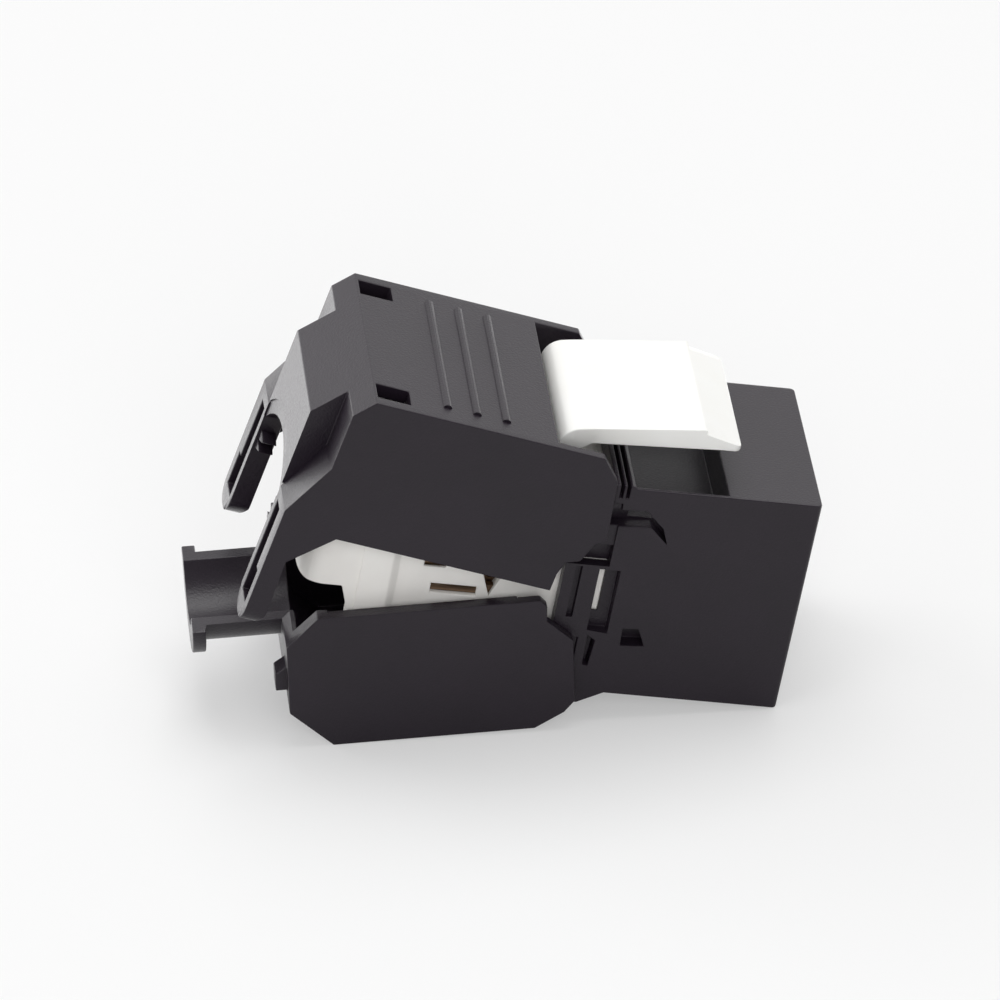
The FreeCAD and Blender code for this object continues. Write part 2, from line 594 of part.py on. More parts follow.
def lower_jaw():
    """Lower tray in the closed position."""
    bottom = LOWER_BOTTOM_Z
    chamfer = LOWER_REAR_CHAMFER
    outline = [(PIVOT_X - 1.2, LOWER_EDGE_Z), (PIVOT_X - 0.8, LOWER_EDGE_Z - 0.5),
               (PIVOT_X - 0.85, -PIVOT_Z + 3.1), (LOWER_FRONT_X, -PIVOT_Z + 1.4),
               (LOWER_FRONT_X, bottom + 1.95), (PIVOT_X + 0.1, bottom + 1.1), (PIVOT_X - 1.9, bottom),
               (LOWER_REAR_X + chamfer, bottom),
               (LOWER_REAR_X, bottom + chamfer), (LOWER_REAR_X, LOWER_EDGE_Z - REAR_BEVEL),
               (LOWER_REAR_X + REAR_BEVEL, LOWER_EDGE_Z)]
    tray = profile(outline, -JAW_HALF, JAW_HALF)
    inset = JAW_SKIN * math.tan(math.radians(22.5))
    inner_rear = LOWER_REAR_X + LOWER_REAR_WALL
    inner_floor = bottom + JAW_SKIN
    space = profile([(LOWER_FORK_START_X, LOWER_EDGE_Z + EPS), (LOWER_FORK_START_X, inner_floor),
                     (LOWER_REAR_X + LOWER_REAR_CHAMFER + inset, inner_floor),
                     (inner_rear, bottom + LOWER_REAR_CHAMFER + inset), (inner_rear, LOWER_EDGE_Z + EPS)],
                    -JAW_INNER_Y, JAW_INNER_Y)
    fork_space = centred_box(LOWER_FORK_START_X - 0.01, EPS, FORK_INNER_Y, bottom - EPS, LOWER_EDGE_Z + EPS)
    tray = tray.cut([space, fork_space])
    outer = TROUGH_INNER_RADIUS + TROUGH_WALL
    x_dir = Vector(1, 0, 0)
    start = Vector(TROUGH_END_X, 0, TROUGH_AXIS_Z)
    gutter = Part.makeCylinder(outer, inner_rear - TROUGH_END_X, start, x_dir)
    flange = Part.makeCylinder(outer + TROUGH_FLANGE_HEIGHT, TROUGH_FLANGE_LENGTH, start, x_dir)
    below = centred_box(TROUGH_END_X - EPS, inner_rear + EPS, JAW_HALF, bottom, TROUGH_RIM_Z)
    gutter = gutter.fuse(flange).common(below)
    bore = Part.makeCylinder(TROUGH_INNER_RADIUS, inner_rear - TROUGH_END_X + 2 * EPS,
                             Vector(TROUGH_END_X - EPS, 0, TROUGH_AXIS_Z), x_dir)
    entry = centred_box(LOWER_REAR_X - EPS, inner_rear + EPS, trough_half_width(outer), TROUGH_RIM_Z,
                        LOWER_EDGE_Z + EPS)
    nose_space = centred_box(LOWER_REAR_X - EPS, inner_rear + EPS, JAW_INNER_Y, NOSE_BOTTOM_Z - 0.1,
                             LOWER_EDGE_Z + EPS)
    rebate_y = JAW_INNER_Y + LAP_WALL + LAP_CLEARANCE
    rebate = centred_box(LAP_REAR_X - LAP_CLEARANCE, LOWER_FORK_START_X, rebate_y,
                         UPPER_EDGE_Z - LAP_HEIGHT - LAP_CLEARANCE, LOWER_EDGE_Z + EPS)
    tray = tray.cut([entry, nose_space, rebate])
    tray = tray.fuse([gutter] + snap_catches() + jaw_pins(-PIVOT_Z)).cut(bore)
    return tray.removeSplitter()


def trough_half_width(radius):
    """Half the trough's width at its rim."""
    return math.sqrt(radius ** 2 - (TROUGH_RIM_Z - TROUGH_AXIS_Z) ** 2)


def snap_catches():
    """Wedges behind the tray that the upper jaw's legs snap over."""
    inner = SLOT_INNER_Y + CATCH_CLEARANCE
    outer = SLOT_INNER_Y + SNAP_WIDTH - CATCH_CLEARANCE
    outline = [(LOWER_REAR_X + 0.1, CATCH_TOP_Z), (LOWER_REAR_X - CATCH_REACH, CATCH_TOP_Z - 0.6),
               (LOWER_REAR_X - CATCH_REACH, CATCH_BOTTOM_Z), (LOWER_REAR_X + 0.1, CATCH_BOTTOM_Z)]
    return [side_profile(outline, inner, outer)]


def idc_places():
    """Name, X, inner Y, row, slot bottom and tail level of each insulation-displacement contact."""
    return [("top_front", TOP_FRONT_X, IDC_INNER_Y, 1, TOP_FRONT_SLOT_Z, TOP_TAIL_Z),
            ("top_rear", TOP_REAR_X, IDC_OUTER_Y, 1, TOP_REAR_SLOT_Z, TOP_TAIL_Z),
            ("bottom_front", BOTTOM_FRONT_X, IDC_INNER_Y, -1, BOTTOM_SLOT_Z, BOTTOM_TAIL_Z),
            ("bottom_rear", BOTTOM_REAR_X, IDC_OUTER_Y, -1, BOTTOM_SLOT_Z, BOTTOM_TAIL_Z)]


def idc(x, inner_y, row, slot_z, tail_z, grow=0.0):
    """Bronze blade with its wire slit and its tail to the board; grow makes the pocket that it stands in."""
    tail_top = tail_z + IDC_TAIL_HEIGHT
    blade_low = min(slot_z, tail_z) if row > 0 else -IDC_TIP_Z
    blade_high = IDC_TIP_Z if row > 0 else tail_top
    y0 = inner_y - grow
    y1 = inner_y + IDC_THICKNESS + grow
    reach = IDC_HALF_WIDTH + grow
    blade = box(x - reach, x + reach, y0, y1, blade_low - grow, blade_high + grow)
    tail_front = PCB_FRONT_X - 0.1
    tail = box(x, tail_front + grow, y0, y1, tail_z - grow, tail_top + grow)
    shape = blade.fuse(tail)
    if grow == 0.0:
        if row > 0:
            slit_z = (slot_z + 0.9, IDC_TIP_Z + EPS)
        else:
            slit_z = (-IDC_TIP_Z - EPS, blade_high - 0.9)
        slit = box(x - IDC_WIRE_SLIT / 2, x + IDC_WIRE_SLIT / 2, y0 - EPS, y1 + EPS, slit_z[0], slit_z[1])
        shape = shape.cut(slit)
    return shape.removeSplitter()


def wire_slots():
    """Slots across the block where the wires are pressed in, open above or below."""
    slots = []
    for name, x, inner_y, row, slot_z, tail_z in idc_places():
        top = row * (BLOCK_HALF_HEIGHT + EPS)
        half = WIRE_SLOT_HALF_WIDTH
        knee = slot_z + row * V_HEIGHT
        if name == "top_rear":
            outline = [(x - half, slot_z), (x + half, slot_z), (x + half, top), (x - half, top)]
        else:
            outline = [(x, slot_z), (x + half, knee), (x + half, top), (x - half, top), (x - half, knee)]
        slots.append(side_profile(outline, IDC_INNER_Y - 1.2, BLOCK_HALF_WIDTH + EPS))
    return slots


def block_nose():
    """Rounded divider at the rear of the wire block."""
    half = BLOCK_HALF_WIDTH - PILLAR_REAR_STEP
    front = BLOCK_REAR_X + 1
    outline = [(NOSE_X, NOSE_BOTTOM_Z), (front, NOSE_BOTTOM_Z), (front, NOSE_TOP_Z), (NOSE_X, NOSE_TOP_Z)]
    nose = rounded_profile(outline, {0: NOSE_BOTTOM_ROUND, 3: NOSE_TOP_ROUND}, -half, half)
    plan = centred_box(NOSE_X, front, half, NOSE_BOTTOM_Z, NOSE_TOP_Z)
    return nose.common(round_upright_edges(plan, NOSE_X, NOSE_PLAN_ROUND, half))


def block_body():
    """Wide part of the wire block with its raised pillars and the thinner panels between them."""
    high = BLOCK_HALF_HEIGHT
    half = BLOCK_HALF_WIDTH
    foot_x = BLOCK_FOOT_X
    front_x = BLOCK_WIDE_FRONT_X
    outline = [(BLOCK_REAR_X, 0), (BLOCK_REAR_X, NOSE_BOTTOM_Z), (foot_x, -BLOCK_FOOT_Z), (foot_x, -high),
               (front_x, -high), (front_x, high), (foot_x, high), (foot_x, BLOCK_FOOT_Z),
               (BLOCK_REAR_X, NOSE_TOP_Z)]
    wide = profile(outline, -half, half)
    low = -high - EPS
    rear_step = box(BLOCK_REAR_X - EPS, PILLAR_REAR_X, half - PILLAR_REAR_STEP, half + EPS, low, high + EPS)
    face = half - PANEL_RECESS
    corners = [Vector(PILLAR_FRONT_X, half, low), Vector(PILLAR_FRONT_X + PANEL_RUN, face, low),
               Vector(front_x + EPS, face, low), Vector(front_x + EPS, half + EPS, low),
               Vector(PILLAR_FRONT_X, half + EPS, low)]
    panel = Part.Face(Part.makePolygon(corners + corners[:1])).extrude(Vector(0, 0, 2 * (high + EPS)))
    hollow = centred_box(BLOCK_REAR_X - EPS, foot_x + HOLLOW_DEPTH, half - HOLLOW_WALL, low,
                         NOSE_BOTTOM_Z - 0.4)
    return wide.cut([both_sides(rear_step), both_sides(panel), hollow])


def termination_block():
    """White wire block from its rear nose to the flange that closes the housing."""
    high = BLOCK_HALF_HEIGHT
    inner_x = BLOCK_WIDE_FRONT_X - EPS
    neck = centred_box(inner_x, -HOUSING_DEPTH, NECK_HALF_WIDTH, -high, high)
    between = HALF_WIDTH - TONGUE_WALL - NECK_MID_CLEARANCE
    middle = centred_box(inner_x, -WINDOW_REAR - 0.2, between, NECK_BOTTOM_Z, NECK_TOP_Z)
    flange = centred_box(inner_x, -HOUSING_DEPTH, between, FLANGE_BOTTOM_Z, NECK_TOP_Z)
    lug = centred_box(inner_x, LUG_FRONT_X, BLOCK_HALF_WIDTH - PANEL_RECESS, NECK_BOTTOM_Z + 0.4, NECK_TOP_Z)
    tail_x = TOP_REAR_X - 0.05
    tail_window = box(tail_x, tail_x + TAIL_WINDOW_LENGTH, IDC_OUTER_Y + IDC_THICKNESS,
                      BLOCK_HALF_WIDTH + EPS, TOP_TAIL_Z, TOP_TAIL_Z + TAIL_WINDOW_HEIGHT)
    groove = LATCH_FOOT_CLEARANCE
    foot = centred_box(LATCH_REAR_X - groove, LATCH_REAR_X + LATCH_ROOT_THICKNESS + groove,
                       LATCH_HALF_WIDTH - 1 + groove, high - LATCH_FOOT_DEPTH - groove, high + EPS)
    block = block_body().fuse([neck, middle, flange, lug, block_nose()])
    pockets = []
    for name, x, inner_y, row, slot_z, tail_z in idc_places():
        pockets.append(both_sides(idc(x, inner_y, row, slot_z, tail_z, IDC_FIT)))
    block = block.cut(wire_slots() + [both_sides(tail_window), foot] + pockets)
    return block.removeSplitter()


def solid_from_corners(corners, faces):
    """Solid with flat faces, each given by the numbers of its corners."""
    shells = [Part.Face(Part.makePolygon([corners[i] for i in face] + [corners[face[0]]])) for face in faces]
    return Part.Solid(Part.Shell(shells))


def panel_latch():
    """White latch that grips the panel's upper edge, in its free position."""
    half = LATCH_HALF_WIDTH
    root_front = LATCH_REAR_X + LATCH_ROOT_THICKNESS
    root_z = BLOCK_HALF_HEIGHT - LATCH_FOOT_DEPTH
    outline = [(LATCH_REAR_X, root_z), (root_front, root_z), (root_front, LATCH_UNDER_REAR_Z - 0.8),
               (root_front + 1.2, LATCH_UNDER_REAR_Z), (LATCH_TIP_X - 1.2, LATCH_UNDER_FRONT_Z),
               (LATCH_TIP_X, LATCH_TIP_Z - LATCH_TIP_THICKNESS), (LATCH_TIP_X, LATCH_TIP_Z),
               (LATCH_RIDGE_X, LATCH_RIDGE_Z), (LATCH_REAR_X, LATCH_TOP_REAR_Z)]
    latch = rounded_profile(outline, {2: 0.3, 3: 0.5, 7: 0.4, 8: LATCH_REAR_ROUND}, -half, half)
    facet_x = LATCH_RIDGE_X + 0.1
    ridge_z = LATCH_RIDGE_Z + 0.1
    corners = [Vector(facet_x, half + 0.01, ridge_z), Vector(facet_x, half - LATCH_FACET_WIDTH, ridge_z),
               Vector(facet_x, half + 0.01, LATCH_RIDGE_Z - LATCH_FACET_DROP),
               Vector(LATCH_TIP_X, half + 0.01, LATCH_TIP_Z), Vector(LATCH_TIP_X, half + 0.01, ridge_z)]
    facet = solid_from_corners(corners, [(0, 1, 2), (0, 2, 3, 4), (1, 2, 3), (0, 1, 4), (1, 3, 4)])
    tip = both_sides(corner_cut(LATCH_TIP_X, half, LATCH_TIP_ROUND, LATCH_RIDGE_Z))
    foot_trim = both_sides(box(LATCH_REAR_X - EPS, root_front + EPS, half - 1, half + EPS, root_z - EPS,
                               BLOCK_HALF_HEIGHT + LATCH_FOOT_CLEARANCE))
    return latch.cut([both_sides(facet), tip, foot_trim]).removeSplitter()


def corner_cut(x, y, radius, height):
    """What a rounding takes off an upright corner at x and y."""
    block = box(x - radius, x + EPS, y - radius, y + EPS, 0, height)
    return block.cut(Part.makeCylinder(radius, height, Vector(x - radius, y - radius, 0)))


def pcb():
    """Circuit board that joins the spring wires to the insulation-displacement contacts."""
    board = centred_box(PCB_REAR_X, PCB_FRONT_X, PCB_HALF_WIDTH, PCB_BOTTOM_Z, PCB_SHOULDER_Z)
    board = board.fuse(centred_box(PCB_REAR_X, PCB_FRONT_X, PCB_NECK_HALF_WIDTH, PCB_SHOULDER_Z, PCB_TOP_Z))
    holes = []
    for name, x, inner_y, row, slot_z, tail_z in idc_places():
        hole = box(PCB_REAR_X - EPS, PCB_FRONT_X + EPS, inner_y - IDC_FIT, inner_y + IDC_THICKNESS + IDC_FIT,
                   tail_z - IDC_FIT, tail_z + IDC_TAIL_HEIGHT + IDC_FIT)
        holes.append(both_sides(hole))
    for y in contact_rows():
        half = CONTACT_WIDTH / 2 + IDC_FIT
        reach = CONTACT_THICKNESS / 2 + IDC_FIT
        holes.append(box(PCB_REAR_X - EPS, PCB_FRONT_X + EPS, y - half, y + half, CONTACT_LEVEL_Z - reach,
                         CONTACT_LEVEL_Z + reach))
    return board.removeSplitter().cut(holes)


def contact_rows():
    """Places of the spring wires across the port."""
    middle = (CONTACT_COUNT - 1) / 2
    return [(i - middle) * CONTACT_PITCH for i in range(CONTACT_COUNT)]


def contact(y):
    """Flat spring wire: straight over the shelf, round its nose, then back down into the port."""
    half = CONTACT_THICKNESS / 2
    slope = math.radians(CONTACT_SLOPE_DEG)
    centre_z = CONTACT_LEVEL_Z - CONTACT_BEND_RADIUS
    along = Vector(-math.cos(slope), 0, -math.sin(slope))

    def arc_point(radius, angle):
        return Vector(CONTACT_BEND_X + radius * math.cos(angle), y, centre_z + radius * math.sin(angle))

    start = math.pi / 2
    end = -math.pi / 2 + slope
    middle = (start + end) / 2
    outer = CONTACT_BEND_RADIUS + half
    inner = CONTACT_BEND_RADIUS - half
    rear_x = PCB_REAR_X + 0.1
    top_outer = Vector(rear_x, y, CONTACT_LEVEL_Z + half)
    top_inner = Vector(rear_x, y, CONTACT_LEVEL_Z - half)
    tip_outer = arc_point(outer, end) + along * CONTACT_ARM
    tip_inner = arc_point(inner, end) + along * CONTACT_ARM
    edges = [Part.LineSegment(top_outer, arc_point(outer, start)).toShape(),
             Part.Arc(arc_point(outer, start), arc_point(outer, middle), arc_point(outer, end)).toShape(),
             Part.LineSegment(arc_point(outer, end), tip_outer).toShape(),
             Part.LineSegment(tip_outer, tip_inner).toShape(),
             Part.LineSegment(tip_inner, arc_point(inner, end)).toShape(),
             Part.Arc(arc_point(inner, end), arc_point(inner, middle), arc_point(inner, start)).toShape(),
             Part.LineSegment(arc_point(inner, start), top_inner).toShape(),
             Part.LineSegment(top_inner, top_outer).toShape()]
    face = Part.Face(Part.Wire(edges))
    face.translate(Vector(0, -CONTACT_WIDTH / 2, 0))
    return face.extrude(Vector(0, CONTACT_WIDTH, 0))


def contact_carrier():
    """Insert behind the port: back wall, shelf under the wires and comb between their free ends."""
    half = CAVITY_HALF - BOARD_GAP
    back_rear = PCB_FRONT_X + BOARD_GAP
    back_front = back_rear + CARRIER_BACK
    shelf_top = CONTACT_LEVEL_Z - CONTACT_THICKNESS / 2 - 0.05
    back = centred_box(back_rear, back_front, half, PORT_FLOOR_Z + BOARD_GAP,
                       PORT_CEILING_Z + SHELF_SPACE - BOARD_GAP)
    shelf = centred_box(back_rear, CONTACT_BEND_X - 0.1, half, shelf_top - SHELF_THICKNESS, shelf_top)
    grooves = []
    teeth = []
    for y in contact_rows():
        clear = CONTACT_WIDTH / 2 + COMB_CLEARANCE
        grooves.append(box(back_rear - EPS, back_front + EPS, y - clear, y + clear, shelf_top,
                           CONTACT_LEVEL_Z + CONTACT_THICKNESS / 2 + COMB_CLEARANCE))
    middle = CONTACT_COUNT / 2
    tooth_half = (CONTACT_PITCH - CONTACT_WIDTH) / 2 - COMB_CLEARANCE
    for i in range(CONTACT_COUNT + 1):
        y = (i - middle) * CONTACT_PITCH
        teeth.append(box(back_front - 0.1, back_front + COMB_LENGTH, y - tooth_half, y + tooth_half,
                         COMB_BOTTOM_Z, COMB_TOP_Z))
    return back.fuse([shelf] + teeth).cut(grooves).removeSplitter()


def build():
    """All pieces by node name, in the part-open rest position."""
    parts = {"front_housing": front_housing(),
             "upper_jaw": turn_open(upper_jaw(), PIVOT_Z, UPPER_OPEN_DEG),
             "lower_jaw": turn_open(lower_jaw(), -PIVOT_Z, -LOWER_OPEN_DEG),
             "panel_latch": panel_latch(),
             "termination_block": termination_block(),
             "pcb": pcb(),
             "contact_carrier": contact_carrier()}
    for name, x, inner_y, row, slot_z, tail_z in idc_places():
        blade = idc(x, inner_y, row, slot_z, tail_z)
        parts["idc_" + name + "_left"] = blade
        parts["idc_" + name + "_right"] = blade.mirror(Vector(0, 0, 0), Y_AXIS)
    for number, y in enumerate(contact_rows(), start=1):
        parts["contact_%d" % number] = contact(y)
    return parts


def main():
    os.makedirs("parts", exist_ok=True)
    for name, shape in build().items():
        shape.exportStep(os.path.join("parts", name + ".step"))
        print(name, len(shape.Solids), shape.isValid(), round(shape.Volume, 2))


main()
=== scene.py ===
"""Keystone jack with hinged rear jaws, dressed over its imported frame.

Lengths in the dataclass fields are millimetres in the frame's own axes: X out of the plug port, Y across
the jaws and Z up towards the panel latch.
"""
import logging
import math
from dataclasses import dataclass, field
from enum import Enum
from typing import Any

import bmesh
import bpy
from mathutils import Matrix, Vector
from mathutils.bvhtree import BVHTree
from mathutils.kdtree import KDTree


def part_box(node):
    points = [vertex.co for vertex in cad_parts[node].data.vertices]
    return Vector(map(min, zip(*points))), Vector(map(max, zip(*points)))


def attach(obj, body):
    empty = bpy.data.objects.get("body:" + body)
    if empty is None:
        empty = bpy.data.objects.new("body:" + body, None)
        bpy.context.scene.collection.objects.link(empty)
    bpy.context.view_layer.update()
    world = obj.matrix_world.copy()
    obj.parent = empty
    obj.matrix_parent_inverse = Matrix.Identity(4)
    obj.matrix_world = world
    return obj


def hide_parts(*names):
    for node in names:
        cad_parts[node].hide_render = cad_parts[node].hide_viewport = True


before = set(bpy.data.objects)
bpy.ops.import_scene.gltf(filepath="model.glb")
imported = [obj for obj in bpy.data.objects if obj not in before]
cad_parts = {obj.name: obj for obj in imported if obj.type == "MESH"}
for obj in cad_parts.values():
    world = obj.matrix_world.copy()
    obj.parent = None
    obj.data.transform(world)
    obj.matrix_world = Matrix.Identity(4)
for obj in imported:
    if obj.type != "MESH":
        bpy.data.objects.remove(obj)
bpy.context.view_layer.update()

MM = 0.001
LOG = logging.getLogger("keystone_jack")

Colour = tuple[float, float, float, float]


# Finishes

# Where nearly all of a noise texture's values lie.
NOISE_LOW = 0.3
NOISE_HIGH = 0.7


class Grain(Enum):
    """Tool surface that a moulding took on; the value is its share in the mottling and the gloss."""

    ERODED = 0.35
    POLISHED = 0.08


def linear(hex_colour: str) -> Colour:
    """Turns an sRGB hex colour to linear values.

    Args:
        hex_colour: Six hex digits after a hash sign.

    Returns:
        Red, green, blue and an alpha of 1.
    """
    parts = [int(hex_colour[i:i + 2], 16) / 255 for i in (1, 3, 5)]
    red, green, blue = (c / 12.92 if c <= 0.04045 else ((c + 0.055) / 1.055) ** 2.4 for c in parts)
    return red, green, blue, 1.0


def add_node(tree: bpy.types.NodeTree, kind: str, settings: dict[str, Any] | None = None,
             inputs: dict[str | int, Any] | None = None) -> bpy.types.Node:
    """Adds one shader node with its settings, its socket values and its links.

    Args:
        tree: The node tree that takes the node.
        kind: The node's type name.
        settings: Properties of the node itself.
        inputs: Socket names or numbers with a value, or with the output socket to link from.

    Returns:
        The new node.
    """
    node = tree.nodes.new(kind)
    for name, value in (settings or {}).items():
        setattr(node, name, value)
    for name, value in (inputs or {}).items():
        if isinstance(value, bpy.types.NodeSocket):
            tree.links.new(value, node.inputs[name])
        else:
            node.inputs[name].default_value = value
    return node


@dataclass(frozen=True)
class MouldedPlastic:
    """An injection-moulded plastic with the texture of its tool and faint flow marks."""

    name: str
    colour: str
    shade: str
    roughness: float
    ior: float = 1.5
    grain: Grain = Grain.ERODED
    grain_mm: float = 0.16
    grain_depth_mm: float = 0.004
    gloss_spread: float = 0.12
    flow_mm: float = 6.0
    tone_range: tuple[float, float] = (0.36, 0.64)
    scatter: float = 0.0
    scatter_mm: float = 0.6

    def material(self) -> bpy.types.Material:
        """Builds the plastic's node material.

        Returns:
            The new material.
        """
        made = bpy.data.materials.new(self.name)
        made.use_nodes = True
        tree = made.node_tree
        tree.nodes.clear()
        place = add_node(tree, "ShaderNodeTexCoord").outputs["Object"]
        flow = add_node(tree, "ShaderNodeTexNoise", inputs={
            "Vector": place, "Scale": 1 / (self.flow_mm * MM), "Detail": 3.0, "Roughness": 0.6})
        fine = add_node(tree, "ShaderNodeTexNoise", inputs={
            "Vector": place, "Scale": 1 / (self.grain_mm * MM), "Detail": 2.0, "Roughness": 0.55})
        speck = add_node(tree, "ShaderNodeMix", {"data_type": "FLOAT"}, {
            0: self.grain.value, 2: flow.outputs["Fac"], 3: fine.outputs["Fac"]})
        low, high = self.tone_range
        tone = add_node(tree, "ShaderNodeMapRange", inputs={
            "Value": speck.outputs[0], "From Min": low, "From Max": high})
        colour = add_node(tree, "ShaderNodeMix", {"data_type": "RGBA"}, {
            0: tone.outputs[0], 6: linear(self.shade), 7: linear(self.colour)})
        spread = self.grain.value * self.gloss_spread
        gloss = add_node(tree, "ShaderNodeMapRange", inputs={
            "Value": fine.outputs["Fac"], "From Min": NOISE_LOW, "From Max": NOISE_HIGH,
            "To Min": self.roughness - spread, "To Max": self.roughness + spread})
        relief = add_node(tree, "ShaderNodeBump", inputs={
            "Height": fine.outputs["Fac"], "Distance": self.grain_depth_mm * MM, "Strength": 1.0})
        surface = add_node(tree, "ShaderNodeBsdfPrincipled", inputs={
            "Base Color": colour.outputs[2], "Roughness": gloss.outputs[0], "IOR": self.ior,
            "Subsurface Weight": self.scatter, "Subsurface Scale": self.scatter_mm * MM,
            "Subsurface Radius": (1.0, 1.0, 1.0),
            "Normal": relief.outputs[0]})
        add_node(tree, "ShaderNodeOutputMaterial", inputs={"Surface": surface.outputs[0]})
        return made


@dataclass(frozen=True)
class RolledMetal:
    """A strip or wire metal with the fine lines that rolling or drawing leaves along it."""

    name: str
    colour: str
    tarnish: str
    roughness: float
    line_mm: tuple[float, float, float]
    line_depth_mm: float = 0.002
    gloss_spread: tuple[float, float] = (-0.06, 0.1)

    def material(self) -> bpy.types.Material:
        """Builds the metal's node material.

        Returns:
            The new material.
        """
        made = bpy.data.materials.new(self.name)
        made.use_nodes = True
        tree = made.node_tree
        tree.nodes.clear()
        place = add_node(tree, "ShaderNodeTexCoord").outputs["Object"]
        along = add_node(tree, "ShaderNodeMapping", inputs={
            "Vector": place, "Scale": tuple(1 / (size * MM) for size in self.line_mm)})
        lines = add_node(tree, "ShaderNodeTexNoise", inputs={
            "Vector": along.outputs[0], "Scale": 1.0, "Detail": 2.0})
        colour = add_node(tree, "ShaderNodeMix", {"data_type": "RGBA"}, {
            0: lines.outputs["Fac"], 6: linear(self.tarnish), 7: linear(self.colour)})
        least, most = self.gloss_spread
        gloss = add_node(tree, "ShaderNodeMapRange", inputs={
            "Value": lines.outputs["Fac"], "From Min": NOISE_LOW, "From Max": NOISE_HIGH,
            "To Min": self.roughness + least, "To Max": self.roughness + most})
        relief = add_node(tree, "ShaderNodeBump", inputs={
            "Height": lines.outputs["Fac"], "Distance": self.line_depth_mm * MM, "Strength": 0.6})
        surface = add_node(tree, "ShaderNodeBsdfPrincipled", inputs={
            "Base Color": colour.outputs[2], "Metallic": 1.0, "Roughness": gloss.outputs[0],
            "Normal": relief.outputs[0]})
        add_node(tree, "ShaderNodeOutputMaterial", inputs={"Surface": surface.outputs[0]})
        return made


@dataclass(frozen=True)
class BoardLaminate:
    """A circuit board: solder mask over woven glass on its two faces, bare pale laminate at its cut edges."""

    name: str
    mask: str
    mask_dark: str
    laminate: str
    weave_mm: float
    faces_mm: tuple[float, float]
    weave_depth_mm: float = 0.01
    mask_mm: float = 0.03
    roughness: float = 0.35

    def material(self) -> bpy.types.Material:
        """Builds the board's node material.

        Returns:
            The new material.
        """
        made = bpy.data.materials.new(self.name)
        made.use_nodes = True
        tree = made.node_tree
        tree.nodes.clear()
        place = add_node(tree, "ShaderNodeTexCoord").outputs["Object"]
        split = add_node(tree, "ShaderNodeSeparateXYZ", inputs={"Vector": place})
        weave = add_node(tree, "ShaderNodeTexVoronoi", inputs={
            "Vector": place, "Scale": 1 / (self.weave_mm * MM)})
        face = add_node(tree, "ShaderNodeMix", {"data_type": "RGBA"}, {
            0: weave.outputs["Distance"], 6: linear(self.mask_dark), 7: linear(self.mask)})
        low, high = self.faces_mm
        offset = add_node(tree, "ShaderNodeMath", {"operation": "SUBTRACT"}, {
            0: split.outputs["X"], 1: (low + high) / 2 * MM})
        depth = add_node(tree, "ShaderNodeMath", {"operation": "ABSOLUTE"}, {0: offset.outputs[0]})
        skin = add_node(tree, "ShaderNodeMath", {"operation": "GREATER_THAN"}, {
            0: depth.outputs[0], 1: ((high - low) / 2 - self.mask_mm) * MM})
        colour = add_node(tree, "ShaderNodeMix", {"data_type": "RGBA"}, {
            0: skin.outputs[0], 6: linear(self.laminate), 7: face.outputs[2]})
        relief = add_node(tree, "ShaderNodeBump", inputs={
            "Height": weave.outputs["Distance"], "Distance": self.weave_depth_mm * MM, "Strength": 0.5})
        surface = add_node(tree, "ShaderNodeBsdfPrincipled", inputs={
            "Base Color": colour.outputs[2], "Roughness": self.roughness, "Normal": relief.outputs[0]})
        add_node(tree, "ShaderNodeOutputMaterial", inputs={"Surface": surface.outputs[0]})
        return made


# Black ABS off an eroded tool: a dark even body whose gloss takes over only at a slant.
BLACK_ABS = MouldedPlastic("black_abs_eroded", "#241D26", "#201A22", roughness=0.36, grain_mm=0.15,
                           grain_depth_mm=0.022)
# The same resin in the thin insert that carries the spring wires, a little smoother.
BLACK_INSERT = MouldedPlastic("black_abs_insert", "#2E2C2F", "#29272A", roughness=0.3, grain_mm=0.1)
# Natural white acetal: bright and waxy, with light that spreads just under the surface.
WHITE_ACETAL = MouldedPlastic("white_acetal_polished", "#FAFAF7", "#F8F7F3", roughness=0.3,
                              grain=Grain.POLISHED, grain_mm=0.6, grain_depth_mm=0.001, scatter=0.15)
# Clear-based polycarbonate filled to an ivory white: satin, and slightly warm in the shade.
IVORY_POLYCARBONATE = MouldedPlastic("ivory_polycarbonate", "#F7F5F1", "#F1EEEA", roughness=0.38,
                                     grain=Grain.POLISHED, grain_mm=0.5, grain_depth_mm=0.001, scatter=0.15,
                                     scatter_mm=0.8)
# Phosphor bronze strip under a thin wash of tin: a dull brown, with rolling lines along the blade.
PHOSPHOR_BRONZE = RolledMetal("phosphor_bronze_rolled", "#B99F88", "#92765F", roughness=0.36,
                              line_mm=(0.9, 0.05, 0.05))
# Gold over nickel on drawn wire: yellow and bright where the plug rubs it.
GOLD_PLATE = RolledMetal("gold_plated_wire", "#E8BE62", "#C89A45", roughness=0.18,
                         line_mm=(1.2, 0.06, 0.06))


# Pieces


def dress(piece: bpy.types.Object, material: bpy.types.Material) -> None:
    """Gives every face of a piece one material.

    Args:
        piece: A mesh object, new or from the frame.
        material: Its finish.
    """
    if piece.data.materials:
        for index in range(len(piece.data.materials)):
            piece.data.materials[index] = material
    else:
        piece.data.materials.append(material)


def new_piece(name: str, shape: bmesh.types.BMesh, material: bpy.types.Material, body: str) -> bpy.types.Object:
    """Turns a bmesh into a linked piece that rides on a body.

    Args:
        name: The piece's name.
        shape: Its finished shape, freed here.
        material: Its finish.
        body: The body that it moves with.

    Returns:
        The new object, at the origin.
    """
    mesh = bpy.data.meshes.new(name)
    shape.to_mesh(mesh)
    shape.free()
    piece = bpy.data.objects.new(name, mesh)
    bpy.context.scene.collection.objects.link(piece)
    mesh.materials.append(material)
    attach(piece, body)
    LOG.info("%s: %d faces on %s", name, len(mesh.polygons), body)
    return piece


